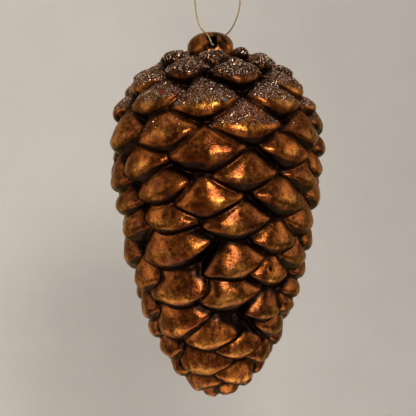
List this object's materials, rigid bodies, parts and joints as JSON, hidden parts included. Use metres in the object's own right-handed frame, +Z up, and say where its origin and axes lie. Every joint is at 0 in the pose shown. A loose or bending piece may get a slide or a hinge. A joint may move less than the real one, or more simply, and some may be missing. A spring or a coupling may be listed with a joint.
{
  "type": "pine cone ornament",
  "caption": "Moulded hanging ornament in the shape of a pine cone, with overlapping scales, a stem knob and a loop of thin gold thread.",
  "frame": {"origin": "inside of the top of the thread's loop, under its knot, where a hook or twig bears", "axes": "+Z up, along the cone's axis from the tip to the stem knob; -Y towards the viewer, out of the front of the thread hole"},
  "size_m": [0.1173, 0.119, 0.2635],
  "materials": {
    "lacquer": "antiqued copper and gold leaf under amber lacquer, near-black patina in the creases, fine glitter on the crown",
    "thread": "metallic gold thread"
  },
  "bodies": {
    "root": {"cone": "lacquer", "hanging_thread": "thread", "thread_knot": "thread"}
  },
  "joints": []
}
